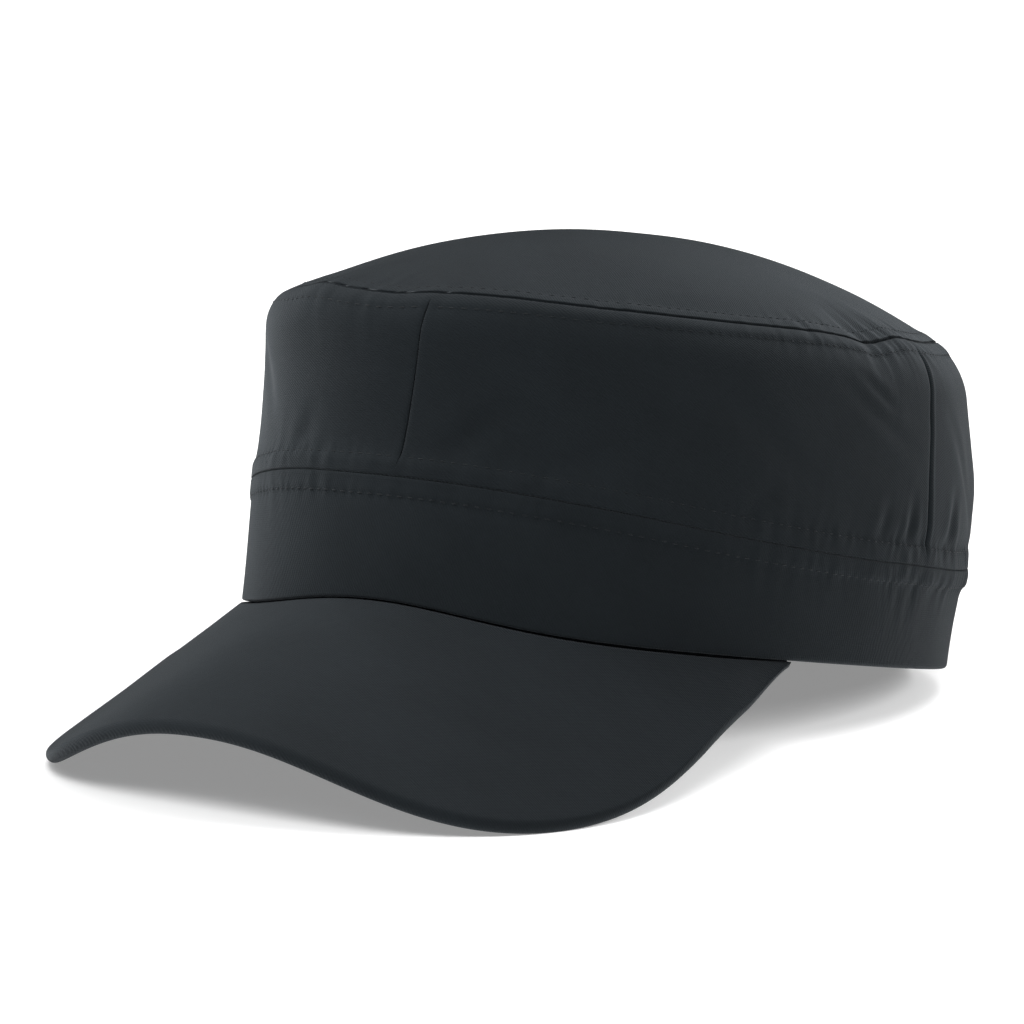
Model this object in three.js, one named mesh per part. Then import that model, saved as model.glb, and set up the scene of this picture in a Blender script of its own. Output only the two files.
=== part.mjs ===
import * as THREE from "three";
import { mergeVertices } from "three/addons/utils/BufferGeometryUtils.js";

// Patrol cap lying on a flat surface. Millimetres and degrees, +Z up, peak towards -Y, wearer's left
// towards +X. Every piece is worked out on the upright cap, whose rim lies in the plane z = 0. The cap then
// leans back until it rests on the two front corners of its peak and on the back of its rim.
// An angle around the cap is 0 at the front and grows towards the wearer's left.

// Head opening, measured outside the band at the rim
const HEAD_LENGTH = 203.6;
const HEAD_WIDTH = 153.6;
const OVAL_POWER = 2;

// Thickness of each cloth, and the gap left at every seam
const WALL_CLOTH = 1.6;
const TOP_CLOTH = 1.6;
const BAND_CLOTH = 2.2;
const PEAK_THICKNESS = 3.6;
const SEAM_GAP = 0.3;

// Crown
const BAND_HEIGHT = 32;
const CROWN_HEIGHT = 76.1;
const TOP_RISE = 20.9;
const TOP_ROUNDNESS = 2.1;
const TOP_PEAK_SHIFT = 5.3;
const TOP_ROLL = 5.8;
const WALL_SWELL = 3.1;

// Rim
const RIM_FRONT_RISE = 4.6;
const RIM_RISE_POWER = 4;
const RIM_ARCH_ANGLE = 4;
const RIM_PRESSED_FLAT = 1.2;

// Peak
const PEAK_REACH = 50.3;
const PEAK_SPREAD = 94.4;
const PEAK_POWER = 2.2;
const PEAK_CLOSING_POWER = 6.7;
const PEAK_END_ANGLE = 75.5;
const PEAK_DROP_FRONT = 26;
const PEAK_DROP_CORNER = 36.3;
const PEAK_DROP_SIDE = 7.1;
const PEAK_DROP_END = 0.6;
const PEAK_END_THICKNESS = 1.8;

// Lines round the cap. Outsets are shares of WALL_SWELL outside the rim's oval, heights are shares of
// BAND_HEIGHT for the band seam and of CROWN_HEIGHT for the top seam. The crown's shoulder is where the wall
// would end if it didn't roll in to the top seam. SWELL says how much of WALL_SWELL the wall takes between
// the two seams.
const BAND_SEAM = {
  outset: { front: -0.09, side: 0.46, back: 0.12 },
  height: { front: 1, side: 0.756, back: 0.897 },
};
const SHOULDER = {
  outset: { front: 1.96, side: -1.33, back: -1.08 },
  height: { front: 0.945, side: 0.992, back: 1.082 },
};
const SWELL = { front: -0.8, side: 0.8, back: 0.9 };

// Upright seams between the crown wall's panels: the angle round the cap of each one's foot and head
const FRONT_SEAM = { foot: 5.5, head: 10 };
const LEFT_SEAM = { foot: 97, head: 101 };
const RIGHT_SEAM = { foot: -LEFT_SEAM.foot, head: -LEFT_SEAM.head };

// Rows of the band: up is a share of its height, out a share of the crown wall's swell there
const BAND_ROWS = [
  { up: 0, out: 0 },
  { up: 0.12, out: 0.03 },
  { up: 0.45, out: 0.04 },
  { up: 0.76, out: 0.05 },
  { up: 0.83, out: 0.3 },
  { up: 0.95, out: 0.35 },
  { up: 1, out: 0 },
];

// Rows of the crown wall: up is a share of its height, out a share of its swell, rolled a share of TOP_ROLL
const WALL_ROWS = [
  { up: 0, out: 0, rolled: 0 },
  { up: 0.04, out: 0.5, rolled: 0 },
  { up: 0.12, out: 0.8, rolled: 0 },
  { up: 0.32, out: 1, rolled: 0 },
  { up: 0.55, out: 0.9, rolled: 0 },
  { up: 0.72, out: 0.62, rolled: 0 },
  { up: 0.8, out: 0.47, rolled: 0.04 },
  { up: 0.86, out: 0.34, rolled: 0.13 },
  { up: 0.91, out: 0.22, rolled: 0.26 },
  { up: 0.95, out: 0.12, rolled: 0.43 },
  { up: 0.98, out: 0.05, rolled: 0.63 },
  { up: 1, out: 0, rolled: 1 },
];

// Rows of the top panel, from its seam to its middle, as shares of the way out from the middle
const TOP_ROWS = [1, 0.955, 0.88, 0.76, 0.6, 0.42, 0.22, 0];

// Soft dents in the crown wall: where they lie, how far they spread and how deep they are.
// The height and tall columns are shares of the wall's height, deep is a share of WALL_SWELL.
const WALL_DENTS = [
  { angle: 26, height: 0.3, wide: 9, tall: 0.3, deep: 0.25 },
  { angle: 74, height: 0.42, wide: 12, tall: 0.35, deep: 0.35 },
  { angle: 118, height: 0.3, wide: 7, tall: 0.4, deep: 0.4 },
  { angle: -38, height: 0.45, wide: 10, tall: 0.35, deep: 0.3 },
  { angle: -96, height: 0.4, wide: 11, tall: 0.4, deep: 0.35 },
  { angle: 172, height: 0.5, wide: 16, tall: 0.4, deep: 0.45 },
];

// Fineness of the meshes
const COLUMN_ANGLE = 5;
const PEAK_COLUMNS = 48;
const PEAK_EDGE_ANGLES = [0, 45, 90];
const PEAK_ROWS = [0.3, 0.65, 1];

// Share of the way from the peak's middle to the tip of its edge curve: where its thinning starts, and where
// it is cut off
const PEAK_THINNING_SHARE = 0.8;
const PEAK_END_SHARE = 0.96;

// Points closer than this are one point
const SAME_POINT = 1e-6;

// Share of the peak's half length over which its slope is taken
const SLOPE_STEP = 0.002;

// The lean is found by halving an angle range this many times
const LEAN_HALVINGS = 50;
const STEEPEST_LEAN = 45;

const radians = THREE.MathUtils.degToRad;

// Oval of the head opening

function ovalShare(cosine, power) {
  return Math.sign(cosine) * Math.abs(cosine) ** (2 / power);
}

// A point at an angle round the cap, standing outset outside the rim's oval, at a height above the rim.
function ovalPoint(angle, outset, height) {
  const a = radians(angle);
  return new THREE.Vector3(
    (HEAD_WIDTH / 2 + outset) * ovalShare(Math.sin(a), OVAL_POWER),
    -(HEAD_LENGTH / 2 + outset) * ovalShare(Math.cos(a), OVAL_POWER),
    height,
  );
}

// A value that runs smoothly from front over the sides to back.
function around(angle, { front, side, back }) {
  const a = radians(angle);
  const mean = (front + 2 * side + back) / 4;
  return mean + ((front - back) / 2) * Math.cos(a) + ((front - 2 * side + back) / 4) * Math.cos(2 * a);
}

// Signed angle from one direction round the cap to another, between -180 and 180.
const turnBetween = (from, to) => THREE.MathUtils.euclideanModulo(to - from + 180, 360) - 180;

// Lower edge of the band: it arches up over the peak, highest a little to the wearer's left of the front.
function rimHeight(angle) {
  const share = Math.min(Math.abs(turnBetween(RIM_ARCH_ANGLE, angle)) / PEAK_END_ANGLE, 1);
  return RIM_FRONT_RISE * ((1 + Math.cos(Math.PI * share)) / 2) ** RIM_RISE_POWER;
}

const bandSeamHeight = (angle) => BAND_HEIGHT * around(angle, BAND_SEAM.height);
const topSeamHeight = (angle) => CROWN_HEIGHT * around(angle, SHOULDER.height);
const bandSeamOutset = (angle) => WALL_SWELL * around(angle, BAND_SEAM.outset);
const shoulderOutset = (angle) => WALL_SWELL * around(angle, SHOULDER.outset);

// Closed geometry of a sheet between its outer and inner faces. Each face is a list of rows of points, and
// faces outwards when its columns run anticlockwise and its rows run up. A row may be one point, repeated.
function sheetGeometry(outer, inner, closedAround) {
  const corners = [];
  const triangle = (...points) => {
    const apart = points.every((p, i) => p.distanceTo(points[(i + 1) % points.length]) > SAME_POINT);
    if (apart) corners.push(...points);
  };
  const quad = (a, b, c, d) => {
    triangle(a, b, c);
    triangle(a, c, d);
  };
  const rows = outer.length - 1;
  const columns = outer[0].length;
  const lastColumn = closedAround ? columns : columns - 1;
  for (let c = 0; c < lastColumn; c++) {
    const n = (c + 1) % columns;
    for (let r = 0; r < rows; r++) {
      quad(outer[r][c], outer[r][n], outer[r + 1][n], outer[r + 1][c]);
      quad(inner[r][n], inner[r][c], inner[r + 1][c], inner[r + 1][n]);
    }
    quad(outer[0][n], outer[0][c], inner[0][c], inner[0][n]);
    quad(outer[rows][c], outer[rows][n], inner[rows][n], inner[rows][c]);
  }
  if (!closedAround) {
    const end = columns - 1;
    for (let r = 0; r < rows; r++) {
      quad(outer[r][0], outer[r + 1][0], inner[r + 1][0], inner[r][0]);
      quad(outer[r + 1][end], outer[r][end], inner[r][end], inner[r + 1][end]);
    }
  }
  const geometry = mergeVertices(new THREE.BufferGeometry().setFromPoints(corners));
  geometry.computeVertexNormals();
  return geometry;
}

// Steps of about COLUMN_ANGLE in an angle range, and the angles from one end to the other in equal steps.
const stepsBetween = (from, to) => Math.max(1, Math.round((to - from) / COLUMN_ANGLE));

function anglesBetween(from, to, steps) {
  return Array.from({ length: steps + 1 }, (_, i) => from + ((to - from) * i) / steps);
}

const fullTurn = anglesBetween(0, 360, stepsBetween(0, 360)).slice(0, -1);

// How many degrees a distance along the rim takes at an angle.
function anglePerMillimetre(angle) {
  return 1 / ovalPoint(angle - 0.5, 0, 0).distanceTo(ovalPoint(angle + 0.5, 0, 0));
}

function dentDepth(angle, up) {
  return WALL_DENTS.reduce((depth, dent) => {
    const across = turnBetween(dent.angle, angle) / dent.wide;
    const along = (up - dent.height) / dent.tall;
    return depth + WALL_SWELL * dent.deep * Math.exp(-across * across - along * along);
  }, 0);
}

// No dent reaches the seams at the foot and the top of the wall.
const dentRoom = (row) => Math.sin(Math.PI * row.up) ** 0.5;

// Headband: pressed flat where the back of the rim lies on the surface

function bandPoint(angle, row, inset, floorHeight) {
  const low = rimHeight(angle);
  const high = bandSeamHeight(angle) - SEAM_GAP / 2;
  const swell = WALL_SWELL * around(angle, SWELL) * row.out;
  const point = ovalPoint(angle, bandSeamOutset(angle) * row.up + swell - inset, low + (high - low) * row.up);
  point.z = Math.max(point.z, floorHeight(point.y));
  return point;
}

function headbandGeometry(floorHeight) {
  const face = (inset) =>
    BAND_ROWS.map((row) => fullTurn.map((angle) => bandPoint(angle, row, inset, floorHeight)));
  return sheetGeometry(face(0), face(BAND_CLOTH), true);
}

// Crown wall: it stands on the band seam, swells out over the band and rolls in to the top seam.
// A section holds, row by row, the outset and the height of one face of the cloth.

function wallSection(angle, inset) {
  const low = bandSeamHeight(angle) + SEAM_GAP / 2;
  const high = topSeamHeight(angle);
  const outer = WALL_ROWS.map((row) => {
    const straight = THREE.MathUtils.lerp(bandSeamOutset(angle), shoulderOutset(angle), row.up);
    const swell = WALL_SWELL * around(angle, SWELL) * row.out;
    const dent = dentDepth(angle, row.up) * dentRoom(row);
    return new THREE.Vector2(straight + swell - dent - TOP_ROLL * row.rolled, low + (high - low) * row.up);
  });
  return outer.map((point, i) => {
    const run = new THREE.Vector2(0, 1);
    if (i === outer.length - 1) run.set(-1, 0);
    else if (i > 0) run.subVectors(outer[i + 1], outer[i - 1]).normalize();
    return new THREE.Vector2(point.x - run.y * inset, point.y + run.x * inset);
  });
}

// A panel of the wall between two of its upright seams. Each row has as many columns, whatever the slant.
function wallPanelGeometry(fromSeam, toSeam) {
  const steps = stepsBetween(fromSeam.foot, toSeam.foot);
  const anglesAt = (up) => {
    const from = THREE.MathUtils.lerp(fromSeam.foot, fromSeam.head, up);
    const to = THREE.MathUtils.lerp(toSeam.foot, toSeam.head, up);
    const halfGap = (angle) => (SEAM_GAP / 2) * anglePerMillimetre(angle);
    return anglesBetween(from + halfGap(from), to - halfGap(to), steps);
  };
  const face = (inset) =>
    WALL_ROWS.map((row, r) =>
      anglesAt(row.up).map((angle) => {
        const { x: outset, y: height } = wallSection(angle, inset)[r];
        return ovalPoint(angle, outset, height);
      }),
    );
  return sheetGeometry(face(0), face(WALL_CLOTH), false);
}

// Top panel: a dome that starts at the top seam, flush with the wall, with its summit a little before the
// middle

function topPoint(angle, share, lowered) {
  const point = ovalPoint(angle, shoulderOutset(angle) - TOP_ROLL - SEAM_GAP, 0);
  const seam = THREE.MathUtils.lerp(CROWN_HEIGHT, topSeamHeight(angle), share);
  const rise = TOP_RISE * (1 - share ** TOP_ROUNDNESS);
  const y = point.y * share - TOP_PEAK_SHIFT * (1 - share);
  return new THREE.Vector3(point.x * share, y, seam + rise - lowered);
}

function topPanelGeometry() {
  const face = (lowered) => TOP_ROWS.map((share) => fullTurn.map((angle) => topPoint(angle, share, lowered)));
  return sheetGeometry(face(0), face(TOP_CLOTH), true);
}

// Peak: straight lines run from the band's lower edge to a curved outer edge that drops towards its two
// corners. along runs from -1 at the wearer's right end to 1 at the left one, and out from 0 at the band to 1
// at the edge.

function peakThickness(along) {
  const taper = THREE.MathUtils.smoothstep(Math.abs(along), PEAK_THINNING_SHARE, PEAK_END_SHARE);
  return THREE.MathUtils.lerp(PEAK_THICKNESS, PEAK_END_THICKNESS, taper);
}

function peakInner(along) {
  const angle = along * PEAK_END_ANGLE;
  return ovalPoint(angle, -BAND_CLOTH / 2, rimHeight(angle) - SEAM_GAP - peakThickness(along) / 2);
}

// Rises from 0 at the front to 1 where the side edge drops fastest, and falls to 0 at the end of the peak.
function sideShare(turn) {
  const most = (5 / 6) ** 5 / 6;
  return (Math.sin(turn) ** 10 * Math.cos(turn) ** 2) / most;
}

function peakEdge(along) {
  const turn = radians(along * 90);
  const end = ovalPoint(PEAK_END_ANGLE, 0, 0);
  const closing = Math.abs(Math.sin(turn)) ** PEAK_CLOSING_POWER;
  const halfWidth = THREE.MathUtils.lerp(PEAK_SPREAD, end.x, closing);
  const reach = HEAD_LENGTH / 2 + PEAK_REACH + end.y;
  const mean = (PEAK_DROP_FRONT + 2 * PEAK_DROP_CORNER + PEAK_DROP_END) / 4;
  const frontToEnd = (PEAK_DROP_FRONT - PEAK_DROP_END) / 2;
  const corner = (PEAK_DROP_FRONT - 2 * PEAK_DROP_CORNER + PEAK_DROP_END) / 4;
  const side = PEAK_DROP_SIDE * sideShare(turn);
  return new THREE.Vector3(
    halfWidth * ovalShare(Math.sin(turn), PEAK_POWER),
    end.y - reach * ovalShare(Math.cos(turn), PEAK_POWER),
    -mean - frontToEnd * Math.cos(2 * turn) - corner * Math.cos(4 * turn) - side,
  );
}

const peakMiddle = (along, out) => peakInner(along).lerp(peakEdge(along), out);

function peakNormal(along, out) {
  const across = peakMiddle(along + SLOPE_STEP, out).sub(peakMiddle(along - SLOPE_STEP, out));
  const inwards = peakInner(along).sub(peakEdge(along));
  return across.cross(inwards).normalize();
}

// One row of points on each face of the peak: the rounded edge first, then the flat part back to the band.
function peakRows(side) {
  const columns = Array.from({ length: PEAK_COLUMNS + 1 }, (_, i) => (2 * i) / PEAK_COLUMNS - 1);
  const alongs = columns.map((share) => PEAK_END_SHARE * share);
  const row = (fromEdge, rise) =>
    alongs.map((along) => {
      const width = peakInner(along).distanceTo(peakEdge(along));
      const radius = peakThickness(along) / 2;
      const out = 1 - fromEdge(width, radius) / width;
      return peakMiddle(along, out).addScaledVector(peakNormal(along, out), side * radius * rise);
    });
  const rounded = PEAK_EDGE_ANGLES.map((angle) => {
    const a = radians(angle);
    return row((width, radius) => radius * (1 - Math.cos(a)), Math.sin(a));
  });
  const flat = PEAK_ROWS.map((share) => row((width, radius) => radius + (width - radius) * share, 1));
  return [...rounded, ...flat];
}

function peakGeometry() {
  return sheetGeometry(peakRows(1), peakRows(-1), false);
}

// Rest: the lean at which the peak's corners and the back of the rim lie on the surface together

const peakSolid = peakGeometry();

function liftAt(lean) {
  return (HEAD_LENGTH / 2) * Math.sin(lean) - RIM_PRESSED_FLAT;
}

function lowestPeakPoint(lean) {
  const heights = peakSolid.getAttribute("position");
  let lowest = Infinity;
  for (let i = 0; i < heights.count; i++) {
    lowest = Math.min(lowest, heights.getZ(i) * Math.cos(lean) - heights.getY(i) * Math.sin(lean));
  }
  return lowest + liftAt(lean);
}

function restingLean() {
  let low = 0;
  let high = radians(STEEPEST_LEAN);
  for (let i = 0; i < LEAN_HALVINGS; i++) {
    const middle = (low + high) / 2;
    if (lowestPeakPoint(middle) < 0) low = middle;
    else high = middle;
  }
  return high;
}

const lean = restingLean();
const floorUnder = (y) => (y * Math.sin(lean) - liftAt(lean)) / Math.cos(lean);

// Materials and assembly

const twill = new THREE.MeshStandardMaterial({ color: 0x24272a, roughness: 0.92, metalness: 0 });
const peakTwill = new THREE.MeshStandardMaterial({ color: 0x1f2224, roughness: 0.88, metalness: 0 });

function piece(name, geometry, material) {
  const mesh = new THREE.Mesh(geometry, material);
  mesh.name = name;
  return mesh;
}

const wholeTurnOn = ({ foot, head }) => ({ foot: foot + 360, head: head + 360 });

const cap = new THREE.Group();
cap.add(
  piece("top_panel", topPanelGeometry(), twill),
  piece("side_panel_left", wallPanelGeometry(FRONT_SEAM, LEFT_SEAM), twill),
  piece("side_panel_right", wallPanelGeometry(RIGHT_SEAM, FRONT_SEAM), twill),
  piece("back_panel", wallPanelGeometry(LEFT_SEAM, wholeTurnOn(RIGHT_SEAM)), twill),
  piece("headband", headbandGeometry(floorUnder), twill),
  piece("peak", peakSolid, peakTwill),
);
cap.rotation.x = -lean;
cap.position.z = liftAt(lean);

// The origin lies on the surface, midway between the front of the peak and the back of the crown.
const patrolCap = new THREE.Group();
patrolCap.add(cap);
const extent = new THREE.Box3().setFromObject(patrolCap, true);
cap.position.y = -(extent.min.y + extent.max.y) / 2;

export default patrolCap;
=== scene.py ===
import bpy
import numpy as np
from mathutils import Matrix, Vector


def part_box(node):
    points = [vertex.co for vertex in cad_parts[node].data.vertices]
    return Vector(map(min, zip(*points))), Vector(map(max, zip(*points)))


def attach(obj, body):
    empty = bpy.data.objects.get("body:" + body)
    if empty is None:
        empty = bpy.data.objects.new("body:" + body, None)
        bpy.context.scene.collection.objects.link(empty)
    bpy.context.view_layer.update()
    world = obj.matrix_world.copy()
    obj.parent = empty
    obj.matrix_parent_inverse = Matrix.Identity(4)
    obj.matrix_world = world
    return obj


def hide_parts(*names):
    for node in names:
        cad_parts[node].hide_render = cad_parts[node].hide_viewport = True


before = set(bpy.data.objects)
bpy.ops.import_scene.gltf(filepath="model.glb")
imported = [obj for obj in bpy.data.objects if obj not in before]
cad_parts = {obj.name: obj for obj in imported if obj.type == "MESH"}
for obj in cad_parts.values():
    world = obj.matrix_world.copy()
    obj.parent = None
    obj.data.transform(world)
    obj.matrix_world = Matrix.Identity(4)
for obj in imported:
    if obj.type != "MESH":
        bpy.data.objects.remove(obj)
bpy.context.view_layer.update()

# Patrol cap of near-black cotton twill. Lengths are millimetres and angles degrees until a mesh is made.
# Every surface is worked out on the upright cap, whose rim lies in the plane z = 0. It is then leaned back to
# rest on the corners of its peak and the back of its rim. An angle round the cap is 0 at the front and grows
# towards the wearer's left.

METRE = 1000.0

# Head opening, cloth and crown, as on the solids
HEAD_LENGTH = 203.6
HEAD_WIDTH = 153.6
WALL_CLOTH = 1.6
TOP_CLOTH = 1.6
BAND_CLOTH = 2.2
PEAK_THICKNESS = 3.6
BAND_HEIGHT = 32.0
CROWN_HEIGHT = 76.1
TOP_RISE = 20.9
TOP_ROUNDNESS = 2.1
TOP_PEAK_SHIFT = 5.3
TOP_ROLL = 5.8
ROLL_FROM = 0.765
ROLL_TURN = 0.93
WALL_SWELL = 3.1
RIM_FRONT_RISE = 4.6
RIM_RISE_POWER = 4.0
RIM_ARCH_ANGLE = 4.0
RIM_PRESSED_FLAT = 1.2
LEAN = 10.319

# Upright seams of the crown wall: the angle of the foot and of the head of each, and how many degrees its
# middle lies off the straight line between them. The right seam is also needed one turn further round.
FRONT_SEAM = {"foot": 5.5, "head": 10.0, "bow": 0.0}
LEFT_SEAM = {"foot": 97.0, "head": 102.0, "bow": -2.8}
RIGHT_SEAM = {key: -value for key, value in LEFT_SEAM.items()}
RIGHT_SEAM_ROUND = {**RIGHT_SEAM, "foot": RIGHT_SEAM["foot"] + 360, "head": RIGHT_SEAM["head"] + 360}

# Peak
PEAK_REACH = 50.3
PEAK_SPREAD = 94.4
PEAK_POWER = 2.2
PEAK_CLOSING_POWER = 6.7
PEAK_END_ANGLE = 75.5
PEAK_DROP_FRONT = 26.0
PEAK_DROP_CORNER = 36.3
PEAK_DROP_SIDE = 7.1
PEAK_DROP_END = 0.6
PEAK_TUCK = 1.1
PEAK_TUCK_GAP = 0.15
PEAK_BELOW_RIM = 0.1
PEAK_UPSTAND = 6.0
PEAK_UPSTAND_CLOTH = 1.2

# Ends of the peak. Places along the peak are shares of the way from its front to PEAK_END_ANGLE: from where
# it thins, hangs lower and is trimmed towards the band, and where it is cut.
PEAK_END_THICKNESS = 0.9
PEAK_THINNING_SHARE = 0.8
PEAK_END_SAG = 1.9
PEAK_SAG_SHARES = (0.78, 0.9, 1.0)
PEAK_TRIM = 0.82
PEAK_TRIM_FROM = 0.865
PEAK_END_SHARE = 0.942

# Seams: how far two cloths lap, how far each rounds off into the seam, and the way out of it, as an angle
# above level, which the normals take up within SEAM_TURN_REACH of the seam
SEAM_LAP = 0.06
SEAM_ROUND = 0.45
SIDE_ROUND = 0.28
BAND_SEAM_CLIMB = 0.0
TOP_SEAM_CLIMB = 62.0
SEAM_TURN_REACH = (0.4, 4.5)

# Over the peak the rim rounds off by a share of the usual amount, which ends between these angles.
RIM_ROUND_OVER_PEAK = 0.45
OVER_PEAK_TO = (60, 78)

# How far the long seams wander and over what length, and the creases at the upright seams
BAND_SEAM_WANDER = 0.25
BAND_SEAM_WAVE = 30
TOP_SEAM_WANDER = 0.3
TOP_SEAM_WAVE = 26
FRONT_CREASE = {"deep": 0.14, "wide": 0.5, "proud": 0.0}
SIDE_CREASE = {"deep": 0.3, "wide": 0.8, "proud": 0.3}
BACK_CREASE = {"deep": 0.3, "wide": 0.8, "proud": 0.1}
WAVER = 0.35
WAVER_WAVE = 6

# Topstitching, the groove that it pulls, the folded-under cloth that stands proud up to it, and the puckers
STITCH_FROM_SEAM = 4.4
STITCH_PITCH = 2.6
STITCH_LENGTH = 1.8
THREAD_RADIUS = 0.15
STITCH_END_GAP = 1.5
STITCH_JITTER = 0.12
STITCH_PLACES = np.array([-0.5, -0.3, 0, 0.3, 0.5])
STITCH_LIFT = [-0.18, -0.04, 0.03, -0.04, -0.18]
THREAD_TAPER = [0.55, 0.95, 1, 0.95, 0.55]
THREAD_SIDES = 6
GROOVE_DEPTH = 0.2
GROOVE_WIDTH = 0.6
STITCH_PULL = 0.07
BAND_RIDGE_FRONT = 0.45
BAND_RIDGE_BACK = 0.7
BAND_RIDGE_CHANGE = (60, 110)
BAND_PUCKER = 0.2
TOP_RIDGE = 0.35
TOP_PUCKER = 0.2
PUCKER_WAVE = 3.1
PUCKER_REACH = 3.0
PUCKER_SLANT = 0.35
PUCKER_SLANT_WAVE = 24
PUCKER_PATCH_WAVE = 19
PUCKER_REACH_WAVE = 9

# Slow swells of cloth that has been handled: how deep, long and tall they are
CLOTH_SWELLS = [(0.38, 34, 26), (0.14, 13, 11)]
DOME_SWELLS = [(0.5, 46, 46), (0.25, 21, 21)]
PEAK_SWELLS = [(0.25, 38, 30)]
BAND_SWELL_SHARE = 0.8

# Distances from a seam between which swells set in on the wall and the dome, and upright creases on the wall
WALL_CALM_LOW = (2, 9)
WALL_CALM_HIGH = (1, 7)
UPRIGHT_CALM = (1, 6)
DOME_CALM = (4, 14)

# Fineness of the meshes
GRID_STEP = 0.7
EDGE_ROWS = np.array([0, 0.04, 0.15, 0.35, 0.65])
TOP_GRID_COLUMNS = 640
TOP_GRID_ROWS = 64
TOP_GRID_CROWDING = 1.12
PEAK_GRID_COLUMNS = 260
PEAK_GRID_ROWS = 72
PEAK_EDGE_ROWS = 9
PEAK_UPSTAND_ROWS = 7
NOISE_ROWS = 97

# Seeds of the irregularities
SEEDS = {
    "band_seam": 11, "top_seam": 12, "band_relief": 21, "band_cloth": 31, "back_crease": 33,
    "top_relief": 51, "wall_cloth": 61, "upright_crease": 71, "dome": 91, "peak": 95,
}

# Lines round the cap. Outsets are shares of WALL_SWELL, heights are shares of BAND_HEIGHT and CROWN_HEIGHT.
BAND_SEAM_OUTSET = {"front": -0.09, "side": 0.46, "back": 0.12}
BAND_SEAM_HEIGHT = {"front": 1.0, "side": 0.756, "back": 0.897}
SHOULDER_OUTSET = {"front": 1.96, "side": -1.33, "back": -1.08}
SHOULDER_HEIGHT = {"front": 0.945, "side": 0.992, "back": 1.082}
SWELL = {"front": -0.8, "side": 0.8, "back": 0.9}

# Sections of the band and the crown wall, from the lower edge to the upper one
BAND_UP = [0, 0.2, 0.5, 0.72, 0.86, 0.95, 1]
BAND_OUT = [0, 0.02, 0.04, 0.1, 0.28, 0.33, 0.3]
WALL_UP = [0, 0.06, 0.1, 0.2, 0.32, 0.55, 0.72, 0.8, 0.86, 0.91, 0.95, 0.98, 1]
WALL_OUT = [0.3, 0.38, 0.55, 0.9, 1, 0.9, 0.62, 0.47, 0.34, 0.22, 0.12, 0.05, 0]

# Soft dents in the crown wall: angle, height, spread in degrees, spread in height and depth. Heights are
# shares of the wall's height, depths are shares of WALL_SWELL.
WALL_DENTS = [
    (26, 0.3, 9, 0.3, 0.25),
    (74, 0.42, 12, 0.35, 0.35),
    (118, 0.3, 7, 0.4, 0.4),
    (-38, 0.45, 10, 0.35, 0.3),
    (-96, 0.4, 11, 0.4, 0.35),
    (172, 0.5, 16, 0.4, 0.45),
]

# Creases in the crown wall: angle and height share of each end, width and depth in millimetres
WALL_FOLDS = [
    ((12, 0.06), (24, 0.42), 3.2, 0.35),
    ((30, 0.05), (47, 0.5), 4.0, 0.4),
    ((52, 0.75), (70, 0.35), 4.5, 0.4),
    ((60, 0.05), (64, 0.3), 2.6, 0.3),
    ((76, 0.88), (92, 0.6), 2.6, 0.3),
    ((80, 0.95), (88, 0.8), 1.8, 0.4),
    ((84, 0.03), (86, 0.3), 2.0, 0.4),
    ((91, 0.02), (92, 0.35), 1.8, 0.45),
    ((106, 0.8), (118, 0.3), 3.2, 0.35),
    ((103, 0.03), (106, 0.4), 2.4, 0.6),
    ((122, 0.1), (138, 0.6), 4.5, 0.6),
    ((150, 0.9), (176, 0.5), 5.0, 0.6),
    ((185, 0.08), (205, 0.5), 4.5, 0.6),
    ((215, 0.85), (238, 0.4), 4.5, 0.6),
    ((246, 0.03), (252, 0.45), 2.6, 0.5),
    ((268, 0.95), (280, 0.55), 3.4, 0.5),
    ((286, 0.05), (303, 0.5), 4.0, 0.45),
    ((318, 0.8), (330, 0.3), 4.0, 0.35),
    ((340, 0.04), (346, 0.3), 3.0, 0.3),
]

# Stretches of a seam where the stitching has gathered the cloth more than elsewhere: angle, spread, strength
GATHERED = [
    (-8, 12, 0.7),
    (30, 9, 0.5),
    (66, 8, 0.6),
    (90, 9, 1.1),
    (118, 14, 1.0),
    (178, 18, 0.8),
    (236, 12, 0.9),
    (270, 9, 1.2),
]

# Stretches of the top seam that are pressed smooth, so that its crease hardly shows: angle, spread
PRESSED = [(-36, 24), (113, 10)]
PRESSED_SHARE = 0.88
LEAST_STRENGTH = 0.12

# Places where the top seam sags, or stands up where the sag is below 0: angle, spread, sag in millimetres.
# The dome follows them from TOP_SAG_FROM of its radius outwards.
TOP_SAG_FROM = 0.72
TOP_SEAM_SAGS = [
    (87, 6, 1.5),
    (96, 5, -0.5),
    (-14, 5, -0.9),
    (2, 5, 0.5),
    (140, 10, 0.7),
    (262, 6, 1.1),
]


def shaped(values):
    """An array of numbers, whatever was given."""
    return np.asarray(values, float)


def soft_step(value, low, high):
    """0 below low, 1 above high and a smooth rise between."""
    share = np.clip((value - low) / (high - low), 0, 1)
    return share * share * (3 - 2 * share)


def bell(offset, spread):
    """1 in the middle, falling off smoothly on both sides."""
    return np.exp(-((offset / spread) ** 2))


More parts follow.
